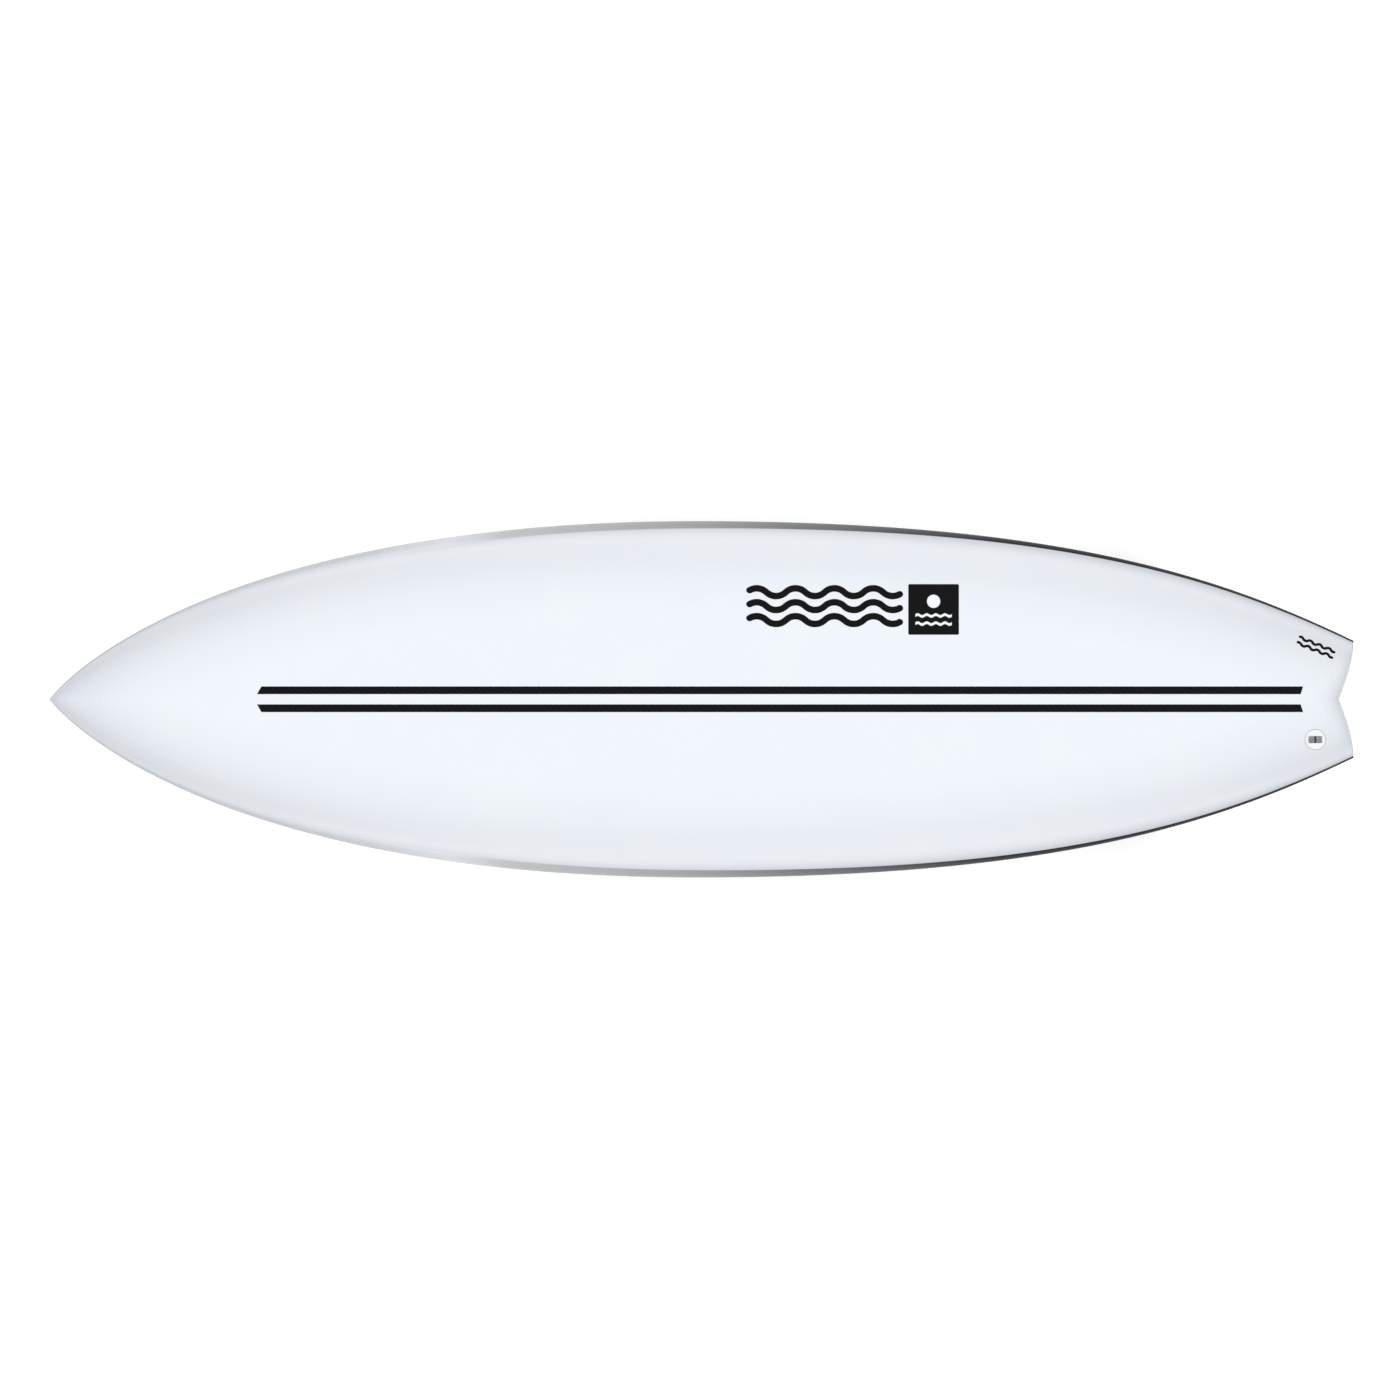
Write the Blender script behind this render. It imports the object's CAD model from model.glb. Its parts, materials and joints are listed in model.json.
# %% [markdown]
# # A shortboard, skin by skin
# A shortboard is a foam blank wrapped in glass cloth and resin. Everything that the eye sees is a skin: the
# white deck with its fading black rails, two carbon strips, a few prints, a leash plug, and three fins below.
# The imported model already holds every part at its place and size, so this lesson only gives them their looks.

# %% Load the frame
import json
import math

import bmesh
import bpy
import numpy as np
from mathutils import Matrix, Vector


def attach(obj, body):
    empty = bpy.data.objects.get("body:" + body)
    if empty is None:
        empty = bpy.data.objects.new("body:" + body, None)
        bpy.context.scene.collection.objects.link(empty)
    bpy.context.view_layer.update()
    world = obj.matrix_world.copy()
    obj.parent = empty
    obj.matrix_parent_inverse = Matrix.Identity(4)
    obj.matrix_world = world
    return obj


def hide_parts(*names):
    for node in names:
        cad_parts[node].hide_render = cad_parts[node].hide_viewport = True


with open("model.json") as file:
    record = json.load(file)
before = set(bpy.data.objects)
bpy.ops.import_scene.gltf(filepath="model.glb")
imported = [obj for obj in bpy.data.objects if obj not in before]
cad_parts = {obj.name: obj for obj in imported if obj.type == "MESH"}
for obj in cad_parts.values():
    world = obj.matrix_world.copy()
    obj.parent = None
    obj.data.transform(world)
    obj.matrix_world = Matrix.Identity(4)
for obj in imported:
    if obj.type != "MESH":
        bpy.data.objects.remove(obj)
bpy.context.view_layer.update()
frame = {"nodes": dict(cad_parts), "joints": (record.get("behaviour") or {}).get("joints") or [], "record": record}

# %% [markdown]
# ## The shaper's rules
# A shaper describes a board by its outline, its rocker (the bottom's height along the length) and its
# foil (the thickness along the length). The blank was cut by these rules, so the skins follow them too.
# They are in millimetres, on a board that lies level: x from the nose, y to the right rail, z up.

# %% Outline, rocker and foil
LENGTH = 1778.0
OUTLINE_FRONT = [(0, 0), (0, 5), (193, 243), (883, 243)]
OUTLINE_REAR = [(883, 243), (1384, 243), (1601, 165.5), (1778, 80)]
NOSE_LIFT, TAIL_LIFT, FLAT_POINT = 124.0, 60.0, 960.0
THICKNESS, THICK_POINT, NOSE_THICKNESS, TAIL_THICKNESS = 60.3, 850.0, 11.0, 17.0
NOSE_CAP = 9.0
CONCAVE = 3.0
HOLLOW_START, HOLLOW_LENGTH = 350.0, 1700.0
NOTCH_DEPTH = 20.0
NOTCH_ROUND = 0.13  # how much of the notch's depth each tip's inner edge bows out
SHOULDER = 0.66  # share of the half width where the crown starts to turn down
RAIL_FULLNESS = 0.74  # share of the rail's height, above its widest point, that stands upright
NOSE_TUCK, TUCK_LOSS, TUCK_SHARE = 17.0, 14.5, 0.3  # the round under the rail gets tighter towards the tail
FLAT_NEAR, FLAT_FAR = 0.7, 0.3  # handles of the hollow panel, as shares of its half width
QUARTER_CIRCLE = 0.5523  # handle length, as a share of the radius, that draws a quarter circle


def bezier(handles, t):
    """Points of a cubic Bezier curve at the parameters t, as rows."""
    t = np.asarray(t, float)[..., None]
    a, b, c, d = (np.asarray(h, float) for h in handles)
    return (1 - t) ** 3 * a + 3 * (1 - t) ** 2 * t * b + 3 * (1 - t) * t**2 * c + t**3 * d


steps = np.linspace(0, 1, 2001)
outline = np.vstack([bezier(OUTLINE_FRONT, steps), bezier(OUTLINE_REAR, steps[1:])])


def half_width(x):
    return np.interp(x, outline[:, 0], outline[:, 1])


def tail_edge(y):
    """Where the swallow tail ends, at a distance from the centre line: the last rib's own curve."""
    end = float(half_width(LENGTH))
    bow = (SHOULDER * end, LENGTH + NOTCH_ROUND * NOTCH_DEPTH)
    curve = bezier([(0, LENGTH - NOTCH_DEPTH), bow, (end, LENGTH), (end, LENGTH)], steps)
    return np.interp(y, curve[:, 0], curve[:, 1])


def rocker(x):
    front = np.clip((FLAT_POINT - x) / FLAT_POINT, 0, None)
    rear = np.clip((x - FLAT_POINT) / (LENGTH - FLAT_POINT), 0, None)
    return NOSE_LIFT * front**2.4 + TAIL_LIFT * rear**1.9


def thickness(x):
    if x < THICK_POINT:
        along = (THICK_POINT - x) / THICK_POINT
        return NOSE_THICKNESS + (THICKNESS - NOSE_THICKNESS) * (1 - along**2.2) ** 1.4
    along = min((x - THICK_POINT) / (LENGTH - THICK_POINT), 1)
    return TAIL_THICKNESS + (THICKNESS - TAIL_THICKNESS) * (1 - along**2.4) ** 1.1


def heights(x):
    """Heights of the deck's crown, the rail's widest point and the bottom's edge at a station."""
    along = x / LENGTH
    share = 0.45 - 0.12 * along - 0.19 * along**4
    cap = math.sqrt(max(0.0, 1 - (1 - min(x / NOSE_CAP, 1)) ** 2))
    apex = rocker(x) + share * thickness(x)
    return apex + cap * (1 - share) * thickness(x), apex, apex - cap * share * thickness(x)


def hollow(x):
    """How far the middle of the bottom stands above its edges."""
    along = max(x - HOLLOW_START, 0) / HOLLOW_LENGTH
    return CONCAVE * math.sin(math.pi * along) ** 2


def deck_handles(x):
    top, apex, _ = heights(x)
    half = float(half_width(x))
    return [(0, top), (SHOULDER * half, top), (half, apex + RAIL_FULLNESS * (top - apex)), (half, apex)]


def deck_height(x, y):
    """Height of the deck above a point of a level board."""
    curve = bezier(deck_handles(x), steps)
    return float(np.interp(abs(y), curve[:, 0], curve[:, 1]))


def bottom_edge(x):
    """Distance of the bottom's hard edge from the centre line, and its height."""
    half = float(half_width(x))
    tuck = min(TUCK_SHARE * half, NOSE_TUCK - TUCK_LOSS * (x / LENGTH) ** 2)
    return half - tuck, heights(x)[2]


def bottom_height(x, y):
    edge, low = bottom_edge(x)
    rise = hollow(x)
    panel = [(0, low + rise), (FLAT_FAR * edge, low + rise), (FLAT_NEAR * edge, low), (edge, low)]
    curve = bezier(panel, steps)
    return float(np.interp(abs(y), curve[:, 0], curve[:, 1]))


print("widest", outline[:, 1].max(), "crown at the thick point", heights(THICK_POINT)[0])

# %% [markdown]
# ## From the level board to the floor
# On a floor the board leans on its belly and its fin tips, so the nose drops a few degrees. The packed
# model says by how much: the middle fin pulls straight out of the bottom, so its axis gives the angle,
# and the middle of the leash plug's rim is a point that both places know.

# %% Find the pitch and the shift
PLUG_X, PLUG_Y, PLUG_RADIUS = 1726.0, -55.0, 13.5
MM = 0.001


def slope(height, x, y):
    step = 5.0
    along = (height(x + step, y) - height(x - step, y)) / (2 * step)
    across = (height(x, y + step) - height(x, y - step)) / (2 * step)
    return along, across


joints = {joint["name"]: joint for joint in frame["joints"]}
mounts = {mount["name"]: mount for mount in frame["record"]["mounts"]}
CENTRE_FIN_X = 1630.0
fin_axis = joints["fin_centre_pull"]["axis"]
pitch = math.atan2(fin_axis[0], -fin_axis[2]) - math.atan(slope(bottom_height, CENTRE_FIN_X, 0)[0])
lean = Matrix.Rotation(-pitch, 4, "Y")
plug_on_level = Vector((PLUG_X, PLUG_Y, deck_height(PLUG_X, PLUG_Y))) * MM
shift = Vector(mounts["deck_at_plug"]["pos_m"]) - lean @ plug_on_level
LAID = Matrix.Translation(shift) @ lean @ Matrix.Scale(MM, 4)
LEVEL = LAID.inverted()
UP = (lean @ Vector((0, 0, 1))).normalized()
nose_tip = tuple(round(v, 3) for v in LAID @ Vector((0, 0, 0)))
print(f"pitch {math.degrees(pitch):.2f} degrees, nose at {nose_tip}")

# %% [markdown]
# ## Small helpers
# One function adds any node with its settings and links, and one turns an sRGB hex colour to linear.
# Another bakes a piece's modifiers into a plain mesh at the origin, which is what the frame expects.


# %% Helpers
def socket(sockets, key):
    """The socket with this number, or the one in use that has this name."""
    if isinstance(key, int):
        return sockets[key]
    return next(s for s in sockets if s.name == key and s.enabled)


def add_node(tree, kind, inputs=None, **settings):
    """Add a node. inputs maps a socket's name or number to a value, or to another node's output."""
    node = tree.nodes.new(kind)
    for name, value in settings.items():
        setattr(node, name, value)
    for key, value in (inputs or {}).items():
        target = socket(node.inputs, key)
        if isinstance(value, bpy.types.NodeSocket):
            tree.links.new(value, target)
        else:
            target.default_value = value
    return node


def srgb(hex_code):
    """An sRGB hex colour as linear RGBA."""
    values = [int(hex_code[i : i + 2], 16) / 255 for i in (0, 2, 4)]
    return (*[v / 12.92 if v <= 0.04045 else ((v + 0.055) / 1.055) ** 2.4 for v in values], 1.0)


def new_material(name):
    """A material, its node tree and its shader."""
    material = bpy.data.materials.new(name)
    material.use_nodes = True
    return material, material.node_tree, material.node_tree.nodes["Principled BSDF"]


def set_inputs(node, values):
    """Set a node's own sockets from a table of their names."""
    for name, value in values.items():
        node.inputs[name].default_value = value


def new_object(name, data):
    piece = bpy.data.objects.new(name, data)
    bpy.context.scene.collection.objects.link(piece)
    return piece


def plain_mesh(piece, name):
    """The piece as its modifiers leave it, as a new object whose mesh is its own."""
    bpy.context.view_layer.update()
    mesh = bpy.data.meshes.new_from_object(piece.evaluated_get(bpy.context.evaluated_depsgraph_get()))
    bpy.data.objects.remove(piece)
    mesh.name = name
    return new_object(name, mesh)


def new_tree(name, inputs):
    """An empty Geometry Nodes tree with these named inputs, each with its kind of socket."""
    tree = bpy.data.node_groups.new(name, "GeometryNodeTree")
    for label, kind in {"Geometry": "NodeSocketGeometry", **inputs}.items():
        tree.interface.new_socket(label, in_out="INPUT", socket_type=kind)
    tree.interface.new_socket("Geometry", in_out="OUTPUT", socket_type="NodeSocketGeometry")
    return tree, tree.nodes.new("NodeGroupInput").outputs


def end_tree(tree, geometry, material):
    """Finish a tree: real faces in place of instances, and the material on them."""
    real = add_node(tree, "GeometryNodeRealizeInstances", {0: geometry}).outputs[0]
    painted = add_node(tree, "GeometryNodeSetMaterial", {"Geometry": real, "Material": material}).outputs[0]
    add_node(tree, "NodeGroupOutput", {0: painted})


def run_tree(piece, tree, values):
    """Put a tree on a piece, with its inputs given by the names that the tree shows."""
    modifier = piece.modifiers.new(tree.name, "NODES")
    modifier.node_group = tree
    for item in tree.interface.items_tree:
        if item.in_out == "INPUT" and item.name in values:
            modifier[item.identifier] = values[item.name]


TAIL_SHADE_SHARE = 0.35


def write_board_place(piece):
    """Write each point's place on the level board, in mm.

    board_mm holds the distance from the nose, the distance across, and how far in from the rail's outline.
    from_edge is the distance to the nearest edge. The blunt end of the tail counts too, but it turns down so
    quickly that its shade is TAIL_SHADE_SHARE as wide as the rails'.
    """
    mesh = piece.data
    points = np.empty(len(mesh.vertices) * 3)
    mesh.vertices.foreach_get("co", points)
    to_level = np.array(LEVEL)
    points = points.reshape(-1, 3) @ to_level[:3, :3].T + to_level[:3, 3]
    inset = half_width(points[:, 0]) - np.abs(points[:, 1])
    place = np.column_stack([points[:, :2], inset]).astype(np.float32)
    mesh.attributes.new("board_mm", "FLOAT_VECTOR", "POINT").data.foreach_set("vector", place.ravel())
    to_tail = (tail_edge(np.abs(points[:, 1])) - points[:, 0]) / TAIL_SHADE_SHARE
    from_edge = np.minimum(inset, to_tail).astype(np.float32)
    mesh.attributes.new("from_edge", "FLOAT", "POINT").data.foreach_set("value", from_edge)


def show(piece):
    """Print what a piece turned out to be."""
    print(f"{piece.name}: {len(piece.data.polygons)} faces, {[round(v, 3) for v in piece.dimensions]} m")


print("helpers ready")

# %% [markdown]
# ## Ribs
# A loft needs ribs: one curve across the board at each station. The nose needs close ones, because its
# tip rounds off in nine millimetres, and the long middle needs few. Each rib is a Bezier curve with the
# same number of handles, so point number five of one rib faces point number five of the next, and a skin
# can be stretched from rib to rib. The swallow tail is made by pulling the middle of the last ribs forward.

# %% Rib stations and handles
LONGEST_GAP = 13.0
GAP_GROWTH = 1.22
NOSE_RIBS = 9
TAIL_ROUND = 3.8
TAIL_ROUND_RIBS = 6
NOTCH_LEAD = 178.0  # the ribs start to bend into the notch this far ahead of the tail's tips
NEAR_PULL, FAR_PULL = 0.03, 0.46  # shares of a rib's bend at the two handles of its bottom panel
DECK_RESOLUTION = 32  # faces across each half of a skin


def stations():
    """Pairs of a station and how far the crown drops there, which is nothing before the tail's round edge."""
    turns = [0.5 * math.pi * i / (NOSE_RIBS - 1) for i in range(NOSE_RIBS)]
    places = [NOSE_CAP * (1 - math.cos(turn)) for turn in turns]
    gap = places[-1] - places[-2]
    while places[-1] < LENGTH - TAIL_ROUND - LONGEST_GAP:
        gap = min(gap * GAP_GROWTH, LONGEST_GAP)
        places.append(places[-1] + gap)
    turns = [0.5 * math.pi * i / TAIL_ROUND_RIBS for i in range(TAIL_ROUND_RIBS + 1)]
    round_edge = [(LENGTH - TAIL_ROUND * (1 - math.sin(t)), TAIL_ROUND * (1 - math.cos(t))) for t in turns]
    return [(x, 0.0) for x in places] + round_edge


def notch_pull(x):
    """How far the middle of a rib is pulled towards the nose."""
    share = min(max((x - LENGTH + NOTCH_LEAD) / NOTCH_LEAD, 0), 1)
    return NOTCH_DEPTH * share * share * (3 - 2 * share)


def mirrored(half_rib):
    """A whole rib from its right half, which runs from the rail to the middle."""
    return half_rib + [(x, -y, z) for x, y, z in reversed(half_rib[:-1])]


def deck_rib(x, drop=0.0):
    """Handles of the deck's rib, from the right rail to the left."""
    half = float(half_width(x))
    pull = notch_pull(x)
    middle, lifted = x - pull, x + NOTCH_ROUND * pull
    crown, apex, _ = heights(x)
    rail_top = apex + RAIL_FULLNESS * (crown - drop - apex)
    shoulder = (lifted, SHOULDER * half, heights(min(lifted, LENGTH))[0] - drop)
    return mirrored([(x, half, apex), (x, half, rail_top), shoulder, (middle, 0, heights(middle)[0] - drop)])


def bottom_rib(x):
    """Handles of the bottom's rib, from the right rail to the left: the tuck, then the hollow panel."""
    half = float(half_width(x))
    pull = notch_pull(x)
    _, apex, low = heights(x)
    edge, _ = bottom_edge(x)
    tuck = [
        (x, half, apex),
        (x, half, apex - QUARTER_CIRCLE * (apex - low)),
        (x, edge + QUARTER_CIRCLE * (half - edge), low),
        (x, edge, low),
    ]
    near, far, middle = x - NEAR_PULL * pull, x - FAR_PULL * pull, x - pull
    panel = [
        (near, FLAT_NEAR * edge, heights(near)[2]),
        (far, FLAT_FAR * edge, heights(far)[2] + hollow(far)),
        (middle, 0, heights(middle)[2] + hollow(middle)),
    ]
    return mirrored(tuck + panel)


def rib_curve(name, ribs):
    """A curve object with one Bezier spline for each rib, which lists its points with the handles between."""
    curve = bpy.data.curves.new(name, "CURVE")
    curve.dimensions = "3D"
    for handles in ribs:
        places = [LAID @ Vector(handle) for handle in handles]
        spline = curve.splines.new("BEZIER")
        segments = len(places) // 3
        spline.resolution_u = 2 * DECK_RESOLUTION // segments
        spline.bezier_points.add(segments)
        for i, point in enumerate(spline.bezier_points):
            point.handle_left_type = point.handle_right_type = "FREE"
            point.co = places[3 * i]
            point.handle_left = places[max(3 * i - 1, 0)]
            point.handle_right = places[min(3 * i + 1, len(places) - 1)]
    return new_object(name, curve)


stops = stations()
bottom_ribs = [bottom_rib(x) for x, drop in stops if drop == 0] + [bottom_rib(LENGTH)]
deck_ribs = [deck_rib(x, drop) for x, drop in stops] + [bottom_rib(LENGTH)]
deck_ribs = [rib[::-1] for rib in deck_ribs]  # turned round, so that this skin faces up and the other down
print(len(deck_ribs), "deck ribs,", len(bottom_ribs), "bottom ribs")

# %% [markdown]
# ## A skin over the ribs
# The tree below is the loft. It reads the points of every rib, makes a flat grid with one row for each rib,
# and moves grid point number n to rib point number n. Points that land on each other at the nose are welded.
# The same tree makes both skins, so they meet along the rail with the same points. The deck's last rib is
# the bottom's own, which closes the blunt end of the tail.

# %% The loft tree
def skin_over_ribs():
    tree, given = new_tree(
        "skin over ribs",
        {
            "Ribs": "NodeSocketInt",
            "Points": "NodeSocketInt",
            "Weld": "NodeSocketFloat",
            "Skin": "NodeSocketMaterial",
        },
    )
    ribs = add_node(
        tree, "GeometryNodeResampleCurve", {"Curve": given["Geometry"]}, mode="EVALUATED"
    ).outputs[0]
    grid = add_node(
        tree, "GeometryNodeMeshGrid", {"Vertices X": given["Ribs"], "Vertices Y": given["Points"]}
    )
    found = add_node(
        tree,
        "GeometryNodeSampleIndex",
        {
            "Geometry": ribs,
            "Value": add_node(tree, "GeometryNodeInputPosition").outputs[0],
            "Index": add_node(tree, "GeometryNodeInputIndex").outputs[0],
        },
        data_type="FLOAT_VECTOR",
    )
    moved = add_node(
        tree, "GeometryNodeSetPosition", {"Geometry": grid.outputs["Mesh"], "Position": found.outputs[0]}
    )
    welded = add_node(
        tree, "GeometryNodeMergeByDistance", {"Geometry": moved.outputs[0], "Distance": given["Weld"]}
    )
    smooth = add_node(tree, "GeometryNodeSetShadeSmooth", {"Geometry": welded.outputs[0]})
    end_tree(tree, smooth.outputs[0], given["Skin"])
    return tree


loft = skin_over_ribs()
print("nodes in the loft tree:", len(loft.nodes))

# %% [markdown]
# ## Clear resin over white foam
# The white of a board is the foam itself, seen through clear glass cloth and epoxy. The last coat is sanded
# and polished, so it shines like a car's paint: a soft white under a thin, sharp clear coat. The black of
# the rails is sprayed on the foam before the cloth goes on, full at the tail and faded out ahead of the
# middle.
# The pattern reads the place on the board that each point carries, so it follows the outline exactly.

# %% Polished epoxy over foam
# Tables below start with mm: LAP_TONE from the edge inwards, RAIL_SPRAY and RAIL_WIDTH from the nose.
# BEAD and CLOUD are drawn coarser than real foam's grain, which is too fine to show.
FOAM_WHITE, FOAM_SHADE = "DDE1E4", "D9DDE5"
FILLER_GREY, FILLER_WIDTH = "B4B7BA", 1.0
LAP_TONE = {0: 0.46, 2.5: 0.63, 8: 0.7, 18: 0.79, 38: 0.875, 70: 0.95, 120: 1.0}
RAIL_SPRAY = {
    540: "CFD1D4",
    620: "AEB0B2",
    760: "A0A2A4",
    890: "8E9092",
    1023: "6C6E70",
    1160: "4A4B4D",
    1296: "1E1F20",
    1432: "0C0C0D",
    LENGTH: "0A0A0B",
}
RAIL_WIDTH = {480: 11.5, 760: 10.6, 1023: 9.2, 1296: 6.6, 1569: 4.2, 1778: 2.8}
WIDEST_SPRAY = 20.0
SPRAY_EDGE = 0.3
SPRAY_START = (440.0, 600.0)
SPRAY_GLOSS = 0.25
BEAD = 4.0
CLOUD = 90.0


def ramp(tree, factor, stops, as_colour):
    """A colour ramp from a table of places, 0 to 1, and values."""
    node = add_node(tree, "ShaderNodeValToRGB", {0: factor})
    elements = node.color_ramp.elements
    while len(elements) < len(stops):
        elements.new(1.0)
    for element, (place, value) in zip(elements, stops.items()):
        element.position = place
        element.color = as_colour(value)
    return node.outputs["Color"]


def along_board(tree, x_mm, stops, as_colour):
    """A ramp along the board, from a table of mm from the nose."""
    share = add_node(tree, "ShaderNodeMath", {0: x_mm, 1: LENGTH}, operation="DIVIDE").outputs[0]
    return ramp(tree, share, {x / LENGTH: value for x, value in stops.items()}, as_colour)


def filler_ring(tree, place, colour):
    """The colour with a fine grey line of filler round the leash plug."""
    x_mm, y_mm, _ = add_node(tree, "ShaderNodeSeparateXYZ", {0: place}).outputs
    flat = add_node(tree, "ShaderNodeCombineXYZ", {"X": x_mm, "Y": y_mm}).outputs[0]
    away = add_node(tree, "ShaderNodeVectorMath", {0: flat, 1: (PLUG_X, PLUG_Y, 0)}, operation="DISTANCE")
    past = add_node(
        tree, "ShaderNodeMath", {
            0: away.outputs["Value"], 1: PLUG_RADIUS + FILLER_WIDTH / 2
        }, operation="SUBTRACT"
    )
    off = add_node(tree, "ShaderNodeMath", {0: past.outputs[0]}, operation="ABSOLUTE").outputs[0]
    ring = add_node(
        tree,
        "ShaderNodeMapRange",
        {
            "Value": off,
            "From Min": 0.4 * FILLER_WIDTH,
            "From Max": 0.7 * FILLER_WIDTH,
            "To Min": 1.0,
            "To Max": 0.0,
        },
    ).outputs[0]
    ringed = add_node(
        tree, "ShaderNodeMix", {"Factor": ring, "A": colour, "B": srgb(FILLER_GREY)}, data_type="RGBA"
    )
    return socket(ringed.outputs, "Result")


def resin_over_foam(name, roughness, has_plug=False):
    """White foam under clear epoxy: beads show faintly, the rails are sprayed, and a clear coat shines."""
    material, tree, shader = new_material(name)
    place = add_node(tree, "ShaderNodeAttribute", attribute_name="board_mm").outputs["Vector"]
    x_mm, _, inset_mm = add_node(tree, "ShaderNodeSeparateXYZ", {0: place}).outputs
    spot = add_node(tree, "ShaderNodeTexCoord").outputs["Object"]
    beads = add_node(tree, "ShaderNodeTexVoronoi", {"Vector": spot, "Scale": 1000 / BEAD}).outputs["Color"]
    clouds = add_node(tree, "ShaderNodeTexNoise", {"Vector": spot, "Scale": 1000 / CLOUD, "Detail": 3.0})
    mottle = add_node(
        tree, "ShaderNodeMath", {0: beads, 1: 0.25, 2: clouds.outputs[0]}, operation="MULTIPLY_ADD"
    )
    white = add_node(
        tree,
        "ShaderNodeMix",
        {"Factor": mottle.outputs[0], "A": srgb(FOAM_WHITE), "B": srgb(FOAM_SHADE)},
        data_type="RGBA",
    )
    from_edge = add_node(tree, "ShaderNodeAttribute", attribute_name="from_edge").outputs["Fac"]
    lap_share = add_node(
        tree, "ShaderNodeMath", {0: from_edge, 1: max(LAP_TONE)}, operation="DIVIDE"
    ).outputs[0]
    lap_stops = {mm / max(LAP_TONE): tone for mm, tone in LAP_TONE.items()}
    lap = ramp(tree, lap_share, lap_stops, lambda tone: (tone, tone, tone, 1))
    shaded = add_node(
        tree,
        "ShaderNodeMix",
        {"Factor": 1.0, "A": socket(white.outputs, "Result"), "B": lap},
        data_type="RGBA",
        blend_type="MULTIPLY",
    )
    spray = along_board(tree, x_mm, RAIL_SPRAY, srgb)
    width = along_board(tree, x_mm, RAIL_WIDTH, lambda mm: (*[mm / WIDEST_SPRAY] * 3, 1))
    reach = add_node(tree, "ShaderNodeMath", {0: width, 1: WIDEST_SPRAY}, operation="MULTIPLY").outputs[0]
    past = add_node(tree, "ShaderNodeMath", {0: reach, 1: inset_mm}, operation="SUBTRACT").outputs[0]
    edge = add_node(
        tree, "ShaderNodeMapRange", {"Value": past, "From Min": -SPRAY_EDGE, "From Max": SPRAY_EDGE}
    ).outputs[0]
    start = add_node(
        tree, "ShaderNodeMapRange", {"Value": x_mm, "From Min": SPRAY_START[0], "From Max": SPRAY_START[1]}
    ).outputs[0]
    sprayed = add_node(tree, "ShaderNodeMath", {0: edge, 1: start}, operation="MULTIPLY").outputs[0]
    colour = add_node(
        tree,
        "ShaderNodeMix",
        {"Factor": sprayed, "A": socket(shaded.outputs, "Result"), "B": spray},
        data_type="RGBA",
    )
    seen = socket(colour.outputs, "Result")
    if has_plug:
        seen = filler_ring(tree, place, seen)
    tree.links.new(seen, shader.inputs["Base Color"])
    bump = add_node(
        tree, "ShaderNodeBump", {"Height": clouds.outputs[0], "Strength": 0.04, "Distance": 0.0005}
    ).outputs[0]
    tree.links.new(bump, shader.inputs["Coat Normal"])
    set_inputs(shader, {"Roughness": 0.6, "IOR": 1.5, "Specular IOR Level": 0.1})
    gloss = add_node(
        tree, "ShaderNodeMapRange", {"Value": sprayed, "To Min": 1.0, "To Max": SPRAY_GLOSS}
    ).outputs[0]
    tree.links.new(gloss, shader.inputs["Coat Weight"])
    set_inputs(shader, {"Coat Roughness": roughness, "Coat IOR": 1.55})
    return material


deck_resin = resin_over_foam("polished_epoxy_over_foam", 0.06, has_plug=True)
bottom_resin = resin_over_foam("sanded_epoxy_over_foam", 0.16)
print("materials:", deck_resin.name, bottom_resin.name)

# %% [markdown]
# ## Two skins with real openings
# The glass is about a millimetre thick. Solidify gives each skin that wall on its inner side, and boolean
# cutters open it where the leash plug and the fin boxes were routed in after glassing. A cutter is the
# part's own footprint, a little larger all round, so a fine dark line shows where resin meets plastic.

# %% Cutters and skins
DECK_SKIN, BOTTOM_SKIN = 1.2, 1.0
PLUG_GAP, BOX_GAP = 0.25, 0.15
BOX_LENGTH, BOX_WIDTH = 124.0, 23.0
CUT_BELOW, CUT_ABOVE = 6.0, 6.0
SHARP = math.radians(35)
FIN_PLACES = {
    "left": (1440.0, -160.0, -3.2), "centre": (CENTRE_FIN_X, 0.0, 0.0), "right": (1440.0, 160.0, 3.2)
}


def seat(height, x, y, up, toe_in=0.0):
    """A level-board matrix on the deck (up = 1) or the bottom (up = -1): z outwards, x towards the tail."""
    rise_x, rise_y = slope(height, x, y)
    out = Vector((-rise_x, -rise_y, 1)).normalized() * up
    tail_ward = Vector((math.cos(math.radians(toe_in)), math.sin(math.radians(toe_in)), 0))
    tail_ward = (tail_ward - out * tail_ward.dot(out)).normalized()
    axes = Matrix((tail_ward, out.cross(tail_ward), out)).transposed().to_4x4()
    return Matrix.Translation((x, y, height(x, y))) @ axes


def stadium(length, width, steps=24):
    """Corner points of a slot shape with round ends."""
    radius = width / 2
    reach = length / 2 - radius
    ends = []
    for side in (1, -1):
        for i in range(steps + 1):
            angle = math.pi * (i / steps - 0.5)
            ends.append((side * (reach + radius * math.cos(angle)), side * radius * math.sin(angle)))
    return ends


def cutter(name, footprint, place):
    """A straight prism over a footprint, through the skin."""
    mesh = bmesh.new()
    floor = [mesh.verts.new((u, v, -CUT_BELOW)) for u, v in footprint]
    mesh.faces.new(floor)
    grown = bmesh.ops.extrude_face_region(mesh, geom=mesh.faces[:])["geom"]
    tops = [part for part in grown if isinstance(part, bmesh.types.BMVert)]
    bmesh.ops.translate(mesh, verts=tops, vec=(0, 0, CUT_BELOW + CUT_ABOVE))
    bmesh.ops.recalc_face_normals(mesh, faces=mesh.faces[:])
    mesh.transform(LAID @ place)
    data = bpy.data.meshes.new(name)
    mesh.to_mesh(data)
    mesh.free()
    return new_object(name, data)


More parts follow.
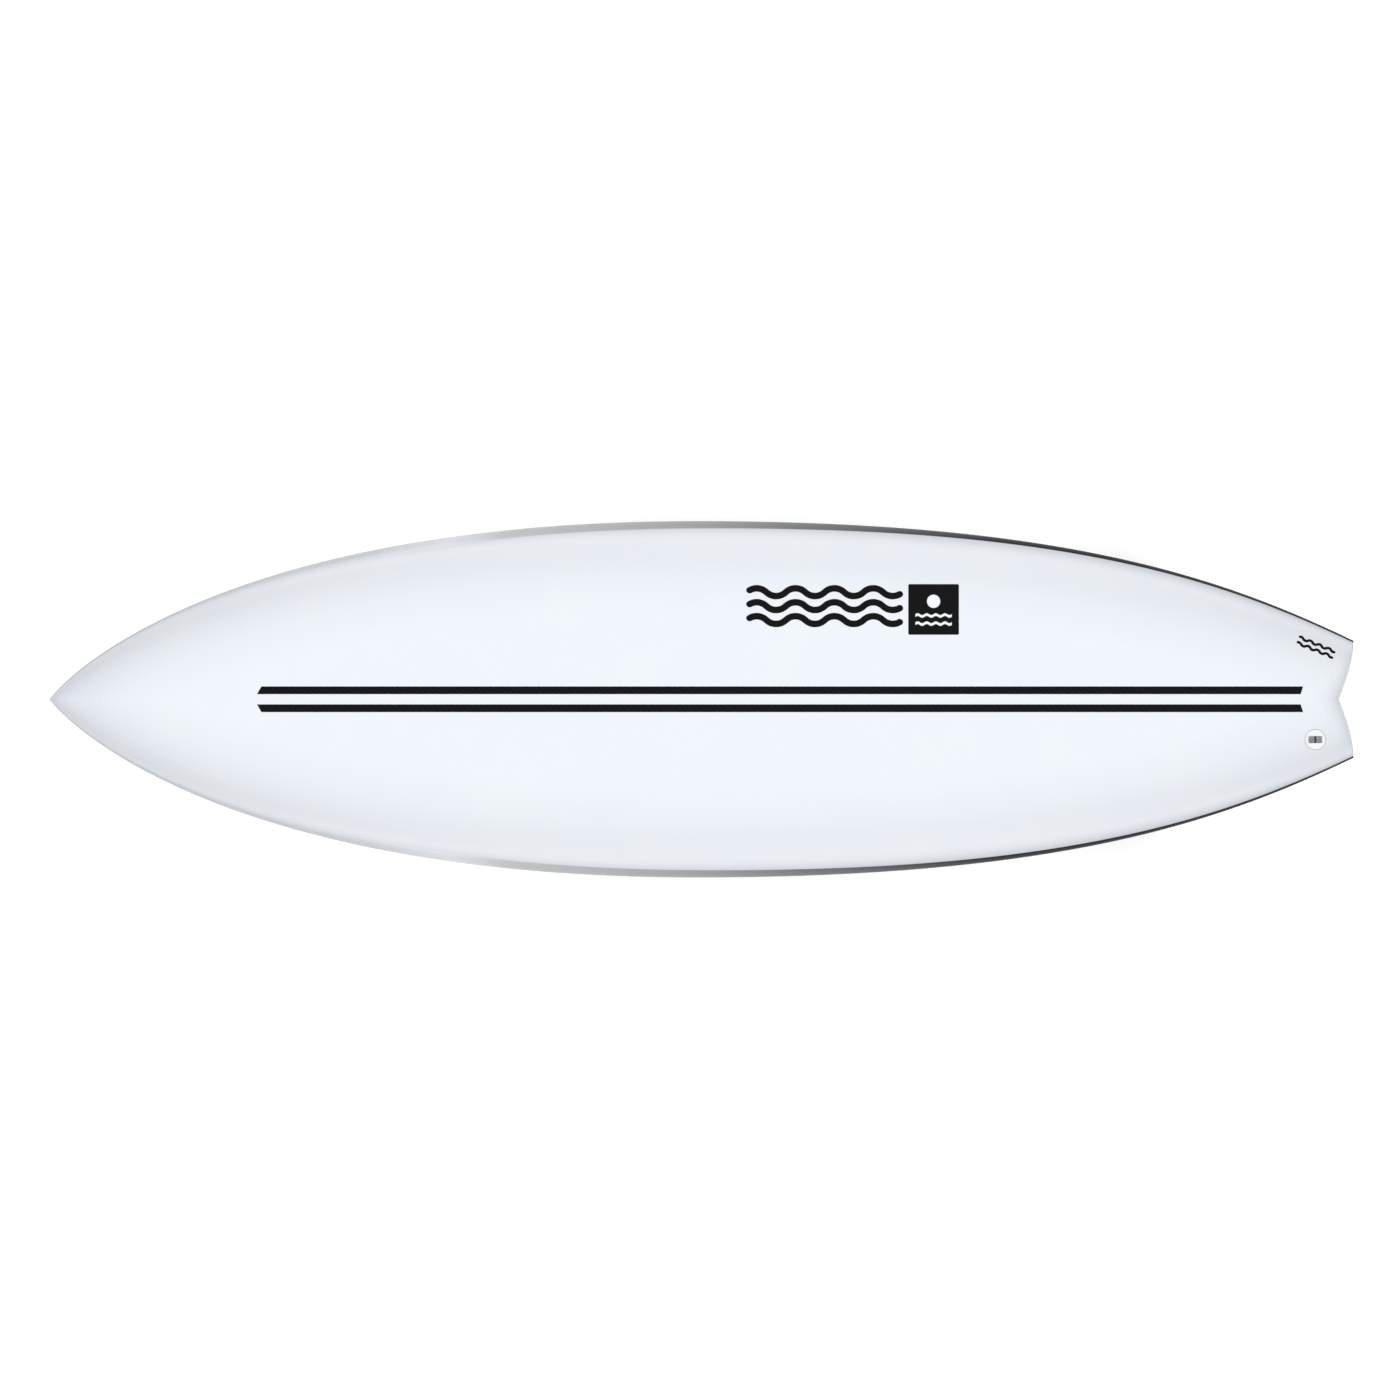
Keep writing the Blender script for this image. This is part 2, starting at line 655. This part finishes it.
def glass_skin(name, ribs, material, wall, cutters):
    """Loft a skin, give it a wall inwards, and open its holes."""
    piece = rib_curve(name + "_ribs", ribs)
    run_tree(
        piece,
        loft,
        {"Ribs": len(ribs), "Points": 2 * DECK_RESOLUTION + 1, "Weld": 0.01 * MM, "Skin": material},
    )
    piece = plain_mesh(piece, name)
    solid = piece.modifiers.new("wall", "SOLIDIFY")
    solid.thickness = wall * MM
    solid.offset = -1
    for tool in cutters:
        opening = piece.modifiers.new(tool.name, "BOOLEAN")
        opening.object = tool
        opening.solver = "EXACT"
    piece = plain_mesh(piece, name)
    for tool in cutters:
        bpy.data.objects.remove(tool)
    piece.data.shade_smooth()
    piece.data.set_sharp_from_angle(angle=SHARP)
    write_board_place(piece)
    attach(piece, "board")
    show(piece)
    return piece


plug_seat = seat(deck_height, PLUG_X, PLUG_Y, 1)
plug_cutter = cutter(
    "plug_hole", stadium(2 * (PLUG_RADIUS + PLUG_GAP), 2 * (PLUG_RADIUS + PLUG_GAP)), plug_seat
)
box_footprint = stadium(BOX_LENGTH + 2 * BOX_GAP, BOX_WIDTH + 2 * BOX_GAP)
box_cutters = [
    cutter(f"box_hole_{side}", box_footprint, seat(bottom_height, x, y, -1, toe_in))
    for side, (x, y, toe_in) in FIN_PLACES.items()
]
deck_skin = glass_skin("deck_skin", deck_ribs, deck_resin, DECK_SKIN, [plug_cutter])
bottom_skin = glass_skin("bottom_skin", bottom_ribs, bottom_resin, BOTTOM_SKIN, box_cutters)
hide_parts("deck_laminate")
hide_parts("bottom_laminate")

# %% [markdown]
# ## Laying tape and prints on the deck
# Carbon tape and tissue prints are thin sheets that take the deck's curve under the clear coat. The tree
# below drops a flat sheet straight down on the deck: each point sends a ray down and stops where it hits.
# Shrinkwrap would do this too, but the tree also works on the drawn lines that come later.

# %% The laying tree
LIFT = 0.12
TAPE_THICKNESS = 0.4
START_HEIGHT = 200.0


def lay_on_deck():
    tree, given = new_tree(
        "lay on deck",
        {
            "Deck": "NodeSocketObject",
            "Up": "NodeSocketVector",
            "Lift": "NodeSocketFloat",
            "Paint": "NodeSocketMaterial",
        },
    )
    deck = add_node(tree, "GeometryNodeObjectInfo", {"Object": given["Deck"]}).outputs["Geometry"]
    down = add_node(
        tree, "ShaderNodeVectorMath", {0: given["Up"], "Scale": -1.0}, operation="SCALE"
    ).outputs[0]
    hit = add_node(
        tree,
        "GeometryNodeRaycast",
        {
            "Target Geometry": deck,
            "Source Position": add_node(tree, "GeometryNodeInputPosition").outputs[0],
            "Ray Direction": down,
            "Ray Length": 1.0,
        },
    )
    rise = add_node(
        tree, "ShaderNodeVectorMath", {0: given["Up"], "Scale": given["Lift"]}, operation="SCALE"
    ).outputs[0]
    spot = add_node(tree, "ShaderNodeVectorMath", {0: hit.outputs["Hit Position"], 1: rise}).outputs[0]
    laid = add_node(
        tree,
        "GeometryNodeSetPosition",
        {"Geometry": given["Geometry"], "Selection": hit.outputs["Is Hit"], "Position": spot},
    )
    end_tree(tree, laid.outputs[0], given["Paint"])
    return tree


laying = lay_on_deck()


def laid_piece(sheet, name, material):
    """Lay a flat sheet on the deck, make it as thick as tape, and let it stand for the node of this name."""
    run_tree(sheet, laying, {"Deck": deck_skin, "Up": UP, "Lift": LIFT * MM, "Paint": material})
    piece = plain_mesh(sheet, name)
    shape = bmesh.new()
    shape.from_mesh(piece.data)
    bmesh.ops.reverse_faces(shape, faces=[face for face in shape.faces if face.normal.dot(UP) < 0])
    shape.to_mesh(piece.data)
    shape.free()
    solid = piece.modifiers.new("thickness", "SOLIDIFY")
    solid.thickness = TAPE_THICKNESS * MM
    solid.offset = -1
    piece = plain_mesh(piece, name)
    piece.data.shade_smooth()
    piece.data.set_sharp_from_angle(angle=SHARP)
    write_board_place(piece)
    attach(piece, "board")
    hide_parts(name)
    show(piece)
    return piece


print("nodes in the laying tree:", len(laying.nodes))

# %% [markdown]
# ## Carbon tape
# Two strips of carbon tape run over the twin stringers and stiffen the deck. The cloth is a twill: each tow,
# two millimetres wide, passes over two and under two, and each row starts one tow further. Tows along and
# across the board catch the light differently, which is all that shows through the clear coat.

# %% Carbon twill and the two strips
TOW = 2.0
STRIP_INNER, STRIP_OUTER = 7.0, 17.5
STRIP_ENDS = (283.0, 1706.0)
STRIP_MITRES = (6.0, 3.4)
STRIP_ROWS, STRIP_COLUMNS = 160, 6


def carbon_twill():
    """Woven carbon in clear resin: near black, with soft diagonal lines."""
    material, tree, shader = new_material("carbon_twill_in_epoxy")
    place = add_node(tree, "ShaderNodeAttribute", attribute_name="board_mm").outputs["Vector"]
    tows = add_node(tree, "ShaderNodeVectorMath", {0: place, "Scale": 1 / TOW}, operation="SCALE").outputs[0]
    whole = add_node(tree, "ShaderNodeVectorMath", {0: tows}, operation="FLOOR").outputs[0]
    column, row, _ = add_node(tree, "ShaderNodeSeparateXYZ", {0: whole}).outputs
    diagonal = add_node(tree, "ShaderNodeMath", {0: column, 1: row}, operation="ADD").outputs[0]
    turn = add_node(tree, "ShaderNodeMath", {0: diagonal, 1: 4.0}, operation="FLOORED_MODULO").outputs[0]
    over = add_node(tree, "ShaderNodeMath", {0: turn, 1: 1.5}, operation="GREATER_THAN").outputs[0]
    colour = add_node(
        tree, "ShaderNodeMix", {"Factor": over, "A": srgb("060708"), "B": srgb("0F1112")}, data_type="RGBA"
    )
    tree.links.new(socket(colour.outputs, "Result"), shader.inputs["Base Color"])
    inside = add_node(tree, "ShaderNodeVectorMath", {0: tows}, operation="FRACTION").outputs[0]
    across, along, _ = add_node(tree, "ShaderNodeSeparateXYZ", {0: inside}).outputs
    profile = add_node(
        tree, "ShaderNodeMix", {"Factor": over, "A": across, "B": along}, data_type="FLOAT"
    )
    arc = add_node(
        tree, "ShaderNodeMath", {0: socket(profile.outputs, "Result"), 1: math.pi}, operation="MULTIPLY"
    )
    hump = add_node(tree, "ShaderNodeMath", {0: arc.outputs[0]}, operation="SINE").outputs[0]
    bump = add_node(tree, "ShaderNodeBump", {"Height": hump, "Strength": 0.35, "Distance": 0.0002}).outputs[0]
    tree.links.new(bump, shader.inputs["Normal"])
    set_inputs(
        shader,
        {
            "Roughness": 0.4,
            "Specular IOR Level": 0.1,
            "Coat Weight": 0.4,
            "Coat Roughness": 0.04,
            "Coat IOR": 1.5,
        },
    )
    return material


def flat_sheet(name, rows, columns, place):
    """A grid of faces, high above the deck. place gives a point's (x, y) from its two shares, 0 to 1."""
    points = [place(i / rows, j / columns) for i in range(rows + 1) for j in range(columns + 1)]
    corners = [i * (columns + 1) + j for i in range(rows) for j in range(columns)]
    data = bpy.data.meshes.new(name)
    vertices = [LAID @ Vector((x, y, START_HEIGHT)) for x, y in points]
    data.from_pydata(vertices, [], [(c, c + columns + 1, c + columns + 2, c + 1) for c in corners])
    return new_object(name, data)


def strip_place(side):
    """Where a point of one strip is. Both ends are cut at a slant."""

    def place(along, across):
        nose = STRIP_ENDS[0] + STRIP_MITRES[0] * across
        tail = STRIP_ENDS[1] + STRIP_MITRES[1] * across
        return nose + (tail - nose) * along, side * (STRIP_INNER + (STRIP_OUTER - STRIP_INNER) * across)

    return place


carbon = carbon_twill()
for name, side in (("deck_strip_left", -1), ("deck_strip_right", 1)):
    laid_piece(
        flat_sheet(name + "_sheet", STRIP_ROWS, STRIP_COLUMNS, strip_place(side)), name, carbon
    )

# %% [markdown]
# ## Wave prints
# The prints are black ink on rice paper, which turns clear in resin, so only the ink shows. A wave line is a
# chain of arcs drawn with a round pen. The tree spaces points along the line, narrows the pen over its last
# half width so that the ends come out round, and draws the stroke as a flat ribbon for the laying tree.

# %% Ink, the pen tree and the wave marks
WAVES_PER_LINE = 4
WAVE_SWING = 0.2
ARC_STEPS = 12
PEN_STEP = 0.5
PEN_COLUMNS = 5
MARKS = {
    "deck_wave_mark": {"at": (1057, 127), "turn": 0, "lines": 3, "pitch": 19.0, "stroke": 9.0, "length": 212},
    "tail_wave_mark": {"at": (1727, 71), "turn": -22, "lines": 2, "pitch": 8.0, "stroke": 3.6, "length": 54},
}


def printed_ink():
    """Black ink on tissue under resin: dense black that lets a little paper grain through."""
    material, tree, shader = new_material("black_ink_on_tissue")
    spot = add_node(tree, "ShaderNodeTexCoord").outputs["Object"]
    grain = add_node(
        tree, "ShaderNodeTexNoise", {"Vector": spot, "Scale": 1000 / 1.5, "Detail": 2.0}
    ).outputs[0]
    colour = add_node(
        tree, "ShaderNodeMix", {"Factor": grain, "A": srgb("030404"), "B": srgb("080909")}, data_type="RGBA"
    )
    tree.links.new(socket(colour.outputs, "Result"), shader.inputs["Base Color"])
    set_inputs(
        shader, {"Roughness": 0.6, "Specular IOR Level": 0.1, "Coat Weight": 0.4, "Coat Roughness": 0.04}
    )
    return material, tree, shader


def pen_stroke():
    """A flat ribbon along each line, as wide as the pen and round at its ends."""
    tree, given = new_tree(
        "pen stroke", {"Pen": "NodeSocketFloat", "Step": "NodeSocketFloat", "Ink": "NodeSocketMaterial"}
    )
    line = add_node(
        tree, "GeometryNodeResampleCurve", {
            "Curve": given["Geometry"], "Length": given["Step"]
        }, mode="LENGTH"
    ).outputs[0]
    gone = add_node(tree, "GeometryNodeSplineParameter").outputs["Length"]
    total = add_node(tree, "GeometryNodeSplineLength").outputs["Length"]
    left = add_node(tree, "ShaderNodeMath", {0: total, 1: gone}, operation="SUBTRACT").outputs[0]
    to_end = add_node(tree, "ShaderNodeMath", {0: gone, 1: left}, operation="MINIMUM").outputs[0]
    share = add_node(tree, "ShaderNodeMath", {0: to_end, 1: given["Pen"]}, operation="DIVIDE").outputs[0]
    short = add_node(
        tree, "ShaderNodeMath", {0: 1.0, 1: share}, operation="SUBTRACT", use_clamp=True
    ).outputs[0]
    square = add_node(tree, "ShaderNodeMath", {0: short, 1: short}, operation="MULTIPLY").outputs[0]
    rest = add_node(
        tree, "ShaderNodeMath", {0: 1.0, 1: square}, operation="SUBTRACT", use_clamp=True
    ).outputs[0]
    press = add_node(tree, "ShaderNodeMath", {0: rest}, operation="SQRT").outputs[0]
    reach = add_node(tree, "ShaderNodeCombineXYZ", {"X": given["Pen"]}).outputs[0]
    back = add_node(tree, "ShaderNodeVectorMath", {0: reach, "Scale": -1.0}, operation="SCALE").outputs[0]
    nib = add_node(tree, "GeometryNodeCurvePrimitiveLine", {"Start": back, "End": reach}).outputs[0]
    nib = add_node(tree, "GeometryNodeResampleCurve", {"Curve": nib, "Count": PEN_COLUMNS}).outputs[0]
    flat = add_node(tree, "GeometryNodeSetCurveNormal", {0: line}, mode="Z_UP").outputs[0]
    ribbon = add_node(
        tree, "GeometryNodeCurveToMesh", {"Curve": flat, "Profile Curve": nib, "Scale": press}
    ).outputs[0]
    end_tree(tree, ribbon, given["Ink"])
    return tree


def arc_line(length, y):
    """Points of a rolling line of arcs, crest and trough in turn."""
    step = length / (2 * WAVES_PER_LINE)
    sag = WAVE_SWING * step
    radius = (step**2 / 4 + sag**2) / (2 * sag)
    points = []
    for i in range(2 * WAVES_PER_LINE * ARC_STEPS + 1):
        number, part = divmod(i, ARC_STEPS)
        off = (part / ARC_STEPS - 0.5) * step
        height = math.sqrt(radius**2 - off**2) - radius + sag
        points.append((-length / 2 + i * step / ARC_STEPS, y + (height if number % 2 == 0 else -height)))
    return points


def wave_lines(name, mark):
    """The lines of a wave mark as a curve object above the deck."""
    curve = bpy.data.curves.new(name, "CURVE")
    curve.dimensions = "3D"
    cos, sin = math.cos(math.radians(mark["turn"])), math.sin(math.radians(mark["turn"]))
    for row in range(mark["lines"]):
        y_row = mark["pitch"] * (row - (mark["lines"] - 1) / 2)
        points = arc_line(mark["length"], y_row)
        spline = curve.splines.new("POLY")
        spline.points.add(len(points) - 1)
        for point, (u, v) in zip(spline.points, points):
            on_board = (mark["at"][0] + u * cos - v * sin, mark["at"][1] + u * sin + v * cos, START_HEIGHT)
            point.co = (*(LAID @ Vector(on_board)), 1)
    return new_object(name, curve)


pen = pen_stroke()
ink, _, _ = printed_ink()
for name, mark in MARKS.items():
    lines = wave_lines(name + "_lines", mark)
    run_tree(lines, pen, {"Pen": mark["stroke"] / 2 * MM, "Step": PEN_STEP * MM, "Ink": ink})
    laid_piece(plain_mesh(lines, name + "_sheet"), name, ink)

# %% [markdown]
# ## The badge
# Beside the waves is a square print: a sun over two waves, left open in the black so that the white foam
# shows. The openings are only ink that isn't there, so they belong in the material and not in the mesh.
# A mask works out how far each point is from the sun's rim and from each wave's middle line.

# %% The badge print
BADGE_SIDE, BADGE_CORNER = 69.0, 2.0
BADGE_CENTRE = (1205.5, 122.5)
SUN_RADIUS, SUN_RISE = 9.0, 0.16
BADGE_WAVES = (-0.12, -0.28)
BADGE_WAVE_LENGTH, BADGE_STROKE = 0.72, 3.6
BADGE_CELLS = 46
INK_EDGE = 0.25


def badge_place(along, across):
    """A point of the square. The points at the corners are drawn in to a small round."""
    half = BADGE_SIDE / 2
    u, v = (along - 0.5) * BADGE_SIDE, (across - 0.5) * BADGE_SIDE
    core = half - BADGE_CORNER
    over_u, over_v = abs(u) - core, abs(v) - core
    reach = math.hypot(over_u, over_v)
    if over_u > 0 and over_v > 0 and reach > BADGE_CORNER:
        u = math.copysign(core + over_u * BADGE_CORNER / reach, u)
        v = math.copysign(core + over_v * BADGE_CORNER / reach, v)
    return BADGE_CENTRE[0] + u, BADGE_CENTRE[1] + v


def open_in_ink(tree, shape):
    """1 inside a shape and 0 outside, from a socket that holds how far inside it a point is."""
    return add_node(
        tree, "ShaderNodeMapRange", {"Value": shape, "From Min": -INK_EDGE, "From Max": INK_EDGE}
    ).outputs[0]


def badge_ink():
    """The same ink, with a sun and two waves left open, so that the white foam shows."""
    material, tree, shader = printed_ink()
    material.name = "black_ink_with_open_sun"
    black = shader.inputs["Base Color"].links[0].from_socket
    place = add_node(tree, "ShaderNodeAttribute", attribute_name="board_mm").outputs["Vector"]
    centred = add_node(
        tree, "ShaderNodeVectorMath", {0: place, 1: (*BADGE_CENTRE, 0)}, operation="SUBTRACT"
    ).outputs[0]
    x, y, _ = add_node(tree, "ShaderNodeSeparateXYZ", {0: centred}).outputs
    flat = add_node(tree, "ShaderNodeCombineXYZ", {"X": x, "Y": y}).outputs[0]
    sun = add_node(
        tree, "ShaderNodeVectorMath", {0: flat, 1: (0, SUN_RISE * BADGE_SIDE, 0)}, operation="DISTANCE"
    )
    inside = add_node(tree, "ShaderNodeMath", {0: SUN_RADIUS, 1: sun.outputs["Value"]}, operation="SUBTRACT")
    mask = open_in_ink(tree, inside.outputs[0])
    length = BADGE_WAVE_LENGTH * BADGE_SIDE
    step = length / (2 * WAVES_PER_LINE)
    turn = add_node(tree, "ShaderNodeMath", {0: x, 1: math.pi / step}, operation="MULTIPLY").outputs[0]
    swing = add_node(tree, "ShaderNodeMath", {0: turn}, operation="SINE").outputs[0]
    ends = add_node(tree, "ShaderNodeMath", {0: x}, operation="ABSOLUTE").outputs[0]
    ends = add_node(tree, "ShaderNodeMath", {0: length / 2, 1: ends}, operation="SUBTRACT").outputs[0]
    for rise in BADGE_WAVES:
        line = add_node(
            tree, "ShaderNodeMath", {
                0: swing, 1: WAVE_SWING * step, 2: rise * BADGE_SIDE
            }, operation="MULTIPLY_ADD"
        )
        off = add_node(tree, "ShaderNodeMath", {0: y, 1: line.outputs[0]}, operation="SUBTRACT").outputs[0]
        off = add_node(tree, "ShaderNodeMath", {0: off}, operation="ABSOLUTE").outputs[0]
        deep = add_node(
            tree, "ShaderNodeMath", {0: BADGE_STROKE / 2, 1: off}, operation="SUBTRACT"
        ).outputs[0]
        deep = add_node(tree, "ShaderNodeMath", {0: deep, 1: ends}, operation="MINIMUM").outputs[0]
        mask = add_node(
            tree, "ShaderNodeMath", {0: mask, 1: open_in_ink(tree, deep)}, operation="MAXIMUM"
        ).outputs[0]
    colour = add_node(
        tree, "ShaderNodeMix", {"Factor": mask, "A": black, "B": srgb(FOAM_WHITE)}, data_type="RGBA"
    )
    tree.links.new(socket(colour.outputs, "Result"), shader.inputs["Base Color"])
    return material


square = flat_sheet("badge_sheet", BADGE_CELLS, BADGE_CELLS, badge_place)
laid_piece(square, "deck_badge", badge_ink())

# %% [markdown]
# ## Plastics and steel
# The leash plug, its bar, the fin boxes and their screws are the CAD's own parts, and their shapes are
# right, so they only take a finish. Moulded plastic has a faint orange-peel skin, and glass-filled nylon is
# duller, with short fibres near its face. The small screws are turned from stainless steel.

# %% Finishes of the fittings
def moulded(name, colours, grain_mm, roughness, relief, metallic=0.0):
    """A fitting's finish: two close tones and a fine relief, both at the grain's real size."""
    material, tree, shader = new_material(name)
    spot = add_node(tree, "ShaderNodeTexCoord").outputs["Object"]
    grain = add_node(
        tree, "ShaderNodeTexNoise", {"Vector": spot, "Scale": 1000 / grain_mm, "Detail": 4.0}
    ).outputs[0]
    colour = add_node(
        tree, "ShaderNodeMix", {
            "Factor": grain, "A": srgb(colours[0]), "B": srgb(colours[1])
        }, data_type="RGBA"
    )
    tree.links.new(socket(colour.outputs, "Result"), shader.inputs["Base Color"])
    bump = add_node(
        tree, "ShaderNodeBump", {"Height": grain, "Strength": relief, "Distance": 0.0001}
    ).outputs[0]
    tree.links.new(bump, shader.inputs["Normal"])
    set_inputs(shader, {"Roughness": roughness, "Metallic": metallic})
    return material


def paint(material, *names):
    """Put a material on CAD nodes."""
    for name in names:
        data = frame["nodes"][name].data
        data.materials.clear()
        data.materials.append(material)
        print(name, "is", material.name)


SIDES = ("left", "centre", "right")
paint(moulded("white_moulded_abs", ("DFE1E2", "D9DBDC"), 3.0, 0.3, 0.1), "leash_plug_cup")
paint(moulded("glass_filled_nylon", ("D8DADB", "C6C9CB"), 1.2, 0.55, 0.3), *[f"fin_box_{s}" for s in SIDES])
steel = moulded("turned_stainless_steel", ("8C8E90", "6F7173"), 0.4, 0.32, 0.2, metallic=1.0)
paint(steel, *[f"fin_screw_{s}_{end}" for s in SIDES for end in ("front", "rear")])
paint(moulded("drawn_steel_bar", ("4E5052", "3E4042"), 0.4, 0.2, 0.1, metallic=1.0), "leash_plug_bar")

# %% [markdown]
# ## Fins
# The fins are pressed from glass, carbon and a honeycomb sheet. Black resin fills them, and the honeycomb's
# cells show as fine lines under the gloss. A hexagon pattern is two brick-like grids of centres: each
# point takes the nearer centre, and its distance to the cell's edge decides between line and fill.

# %% Honeycomb composite
CELL = 5.0
LINE_SHARE = 0.035
ROOT_3 = math.sqrt(3)


def honeycomb_composite():
    """Black composite with a honeycomb core: a faint grid of six-sided cells under polished resin."""
    material, tree, shader = new_material("honeycomb_composite")
    spot = add_node(tree, "ShaderNodeTexCoord").outputs["Object"]
    along, _, up = add_node(tree, "ShaderNodeSeparateXYZ", {0: spot}).outputs
    flat = add_node(tree, "ShaderNodeCombineXYZ", {"X": along, "Y": up}).outputs[0]
    cells = add_node(
        tree, "ShaderNodeVectorMath", {0: flat, "Scale": 1000 / CELL}, operation="SCALE"
    ).outputs[0]
    offsets = []
    for shift_by in ((0, 0, 0), (0.5, ROOT_3 / 2, 0)):
        moved = add_node(tree, "ShaderNodeVectorMath", {0: cells, 1: shift_by}).outputs[0]
        wrapped = add_node(
            tree, "ShaderNodeVectorMath", {0: moved, 1: (1, ROOT_3, 1), 2: (0, 0, 0)}, operation="WRAP"
        ).outputs[0]
        offsets.append(
            add_node(
                tree, "ShaderNodeVectorMath", {0: wrapped, 1: (0.5, ROOT_3 / 2, 0)}, operation="SUBTRACT"
            ).outputs[0]
        )
    sizes = [
        add_node(tree, "ShaderNodeVectorMath", {0: o}, operation="LENGTH").outputs["Value"] for o in offsets
    ]
    second = add_node(tree, "ShaderNodeMath", {0: sizes[0], 1: sizes[1]}, operation="GREATER_THAN").outputs[0]
    near = add_node(
        tree, "ShaderNodeMix", {"Factor": second, "A": offsets[0], "B": offsets[1]}, data_type="VECTOR"
    )
    side = add_node(
        tree, "ShaderNodeVectorMath", {0: socket(near.outputs, "Result")}, operation="ABSOLUTE"
    ).outputs[0]
    slanted = add_node(
        tree, "ShaderNodeVectorMath", {0: side, 1: (0.5, ROOT_3 / 2, 0)}, operation="DOT_PRODUCT"
    )
    upright = add_node(tree, "ShaderNodeSeparateXYZ", {0: side}).outputs[0]
    reach = add_node(
        tree, "ShaderNodeMath", {0: slanted.outputs["Value"], 1: upright}, operation="MAXIMUM"
    ).outputs[0]
    wall = add_node(
        tree, "ShaderNodeMapRange", {
            "Value": reach, "From Min": 0.5 - 2 * LINE_SHARE, "From Max": 0.5 - LINE_SHARE
        }
    ).outputs[0]
    colour = add_node(
        tree, "ShaderNodeMix", {"Factor": wall, "A": srgb("131415"), "B": srgb("2C2F32")}, data_type="RGBA"
    )
    tree.links.new(socket(colour.outputs, "Result"), shader.inputs["Base Color"])
    set_inputs(shader, {"Roughness": 0.38, "Coat Weight": 0.8, "Coat Roughness": 0.12})
    return material


paint(honeycomb_composite(), *[f"fin_{s}" for s in SIDES])

# %% [markdown]
# ## Foam and stringers
# Nothing of the core shows on a finished board, but the pieces are there. The blank is expanded polystyrene,
# whose beads press each other into cells, and the two stringers are dense closed-cell foam strips.

# %% Core finishes
def bead_foam(name, colours, bead_mm, relief):
    """Foam that is made of cells: each has its own tone, and the seams between them are lower."""
    material, tree, shader = new_material(name)
    spot = add_node(tree, "ShaderNodeTexCoord").outputs["Object"]
    cells = add_node(tree, "ShaderNodeTexVoronoi", {"Vector": spot, "Scale": 1000 / bead_mm}).outputs
    tone = add_node(tree, "ShaderNodeSeparateXYZ", {0: cells["Color"]}).outputs[0]
    colour = add_node(
        tree, "ShaderNodeMix", {
            "Factor": tone, "A": srgb(colours[0]), "B": srgb(colours[1])
        }, data_type="RGBA"
    )
    tree.links.new(socket(colour.outputs, "Result"), shader.inputs["Base Color"])
    bump = add_node(
        tree, "ShaderNodeBump", {
            "Height": cells["Distance"], "Strength": relief, "Distance": 0.0004
        }, invert=True
    ).outputs[0]
    tree.links.new(bump, shader.inputs["Normal"])
    shader.inputs["Roughness"].default_value = 0.85
    return material


paint(bead_foam("expanded_polystyrene", ("F3F5F7", "E8EBEE"), BEAD, 0.5), *[f"foam_core_{s}" for s in SIDES])
paint(bead_foam("closed_cell_pvc_foam", ("E6E3D2", "DCD8C4"), 0.8, 0.2), "stringer_left", "stringer_right")

# %% [markdown]
# ## Floor, light and camera
# The board is shown flat from straight above its own deck, so the camera leans with the board. Its lens has
# no perspective, because a board is judged by its outline. Gloss makes the light difficult: under a bright
# ceiling black prints turn grey. A light tent solves it. The whole sky glows, except for a round opening
# overhead where the camera looks in, so the flat deck mirrors the dark opening and only the rails, which
# turn away, mirror the bright cloth.

# %% Stage
FLOOR_SIZE = 32.0
TENT_GLOW = {90: 0.01, 73: 0.01, 55: 1.0, 45: 0.98, 24: 0.38, 0: 0.21, -2: 0.46}
TENT_STRENGTH = 2.27
VIEW_CENTRE = (887.0, -1.0, 0.0)
VIEW_WIDTH = 1908.9
CAMERA_DISTANCE = 12.0
PAPER_GLOW = 0.15


def pale_floor():
    """White paper, lit a little from below, so that shadows on it stay pale."""
    data = bpy.data.meshes.new("studio_floor")
    half = FLOOR_SIZE / 2
    data.from_pydata(
        [(-half, -half, 0), (half, -half, 0), (half, half, 0), (-half, half, 0)], [], [(0, 1, 2, 3)]
    )
    floor = new_object("studio_floor", data)
    material, tree, shader = new_material("white_paper_sweep")
    spot = add_node(tree, "ShaderNodeTexCoord").outputs["Object"]
    fibres = add_node(tree, "ShaderNodeTexNoise", {"Vector": spot, "Scale": 300.0, "Detail": 2.0}).outputs[0]
    colour = add_node(
        tree, "ShaderNodeMix", {"Factor": fibres, "A": srgb("FEFEFE"), "B": srgb("FBFBFB")}, data_type="RGBA"
    )
    tree.links.new(socket(colour.outputs, "Result"), shader.inputs["Base Color"])
    set_inputs(shader, {"Roughness": 0.9, "Emission Color": (1, 1, 1, 1), "Emission Strength": PAPER_GLOW})
    data.materials.append(material)
    return floor


def light_tent():
    """A glowing sky, brightest around a dark round opening overhead.

    The table is in degrees above the floor. Below the floor the sky is as white as the paper, so that a low
    view shows no edge.
    """
    world = bpy.data.worlds.new("light_tent")
    world.use_nodes = True
    tree = world.node_tree
    way = add_node(tree, "ShaderNodeTexCoord").outputs["Generated"]
    rise = add_node(tree, "ShaderNodeSeparateXYZ", {0: way}).outputs["Z"]
    share_up = add_node(tree, "ShaderNodeMapRange", {"Value": rise, "From Min": -1.0}).outputs[0]
    stops = {0.5 + math.sin(math.radians(angle)) / 2: glow for angle, glow in sorted(TENT_GLOW.items())}
    glow = ramp(tree, share_up, stops, lambda share: (share, share, share, 1))
    tree.links.new(glow, tree.nodes["Background"].inputs["Color"])
    tree.nodes["Background"].inputs["Strength"].default_value = TENT_STRENGTH
    bpy.context.scene.world = world


def deck_camera():
    data = bpy.data.cameras.new("deck_camera")
    data.type = "ORTHO"
    data.ortho_scale = VIEW_WIDTH * MM
    data.clip_end = 100
    camera = new_object("deck_camera", data)
    camera.matrix_world = Matrix.Translation(LAID @ Vector(VIEW_CENTRE) + UP * CAMERA_DISTANCE) @ lean
    bpy.context.scene.camera = camera
    return camera


pale_floor()
light_tent()
camera = deck_camera()
bpy.context.scene.view_settings.view_transform = "Standard"
print("camera at", [round(v, 3) for v in camera.matrix_world.translation])
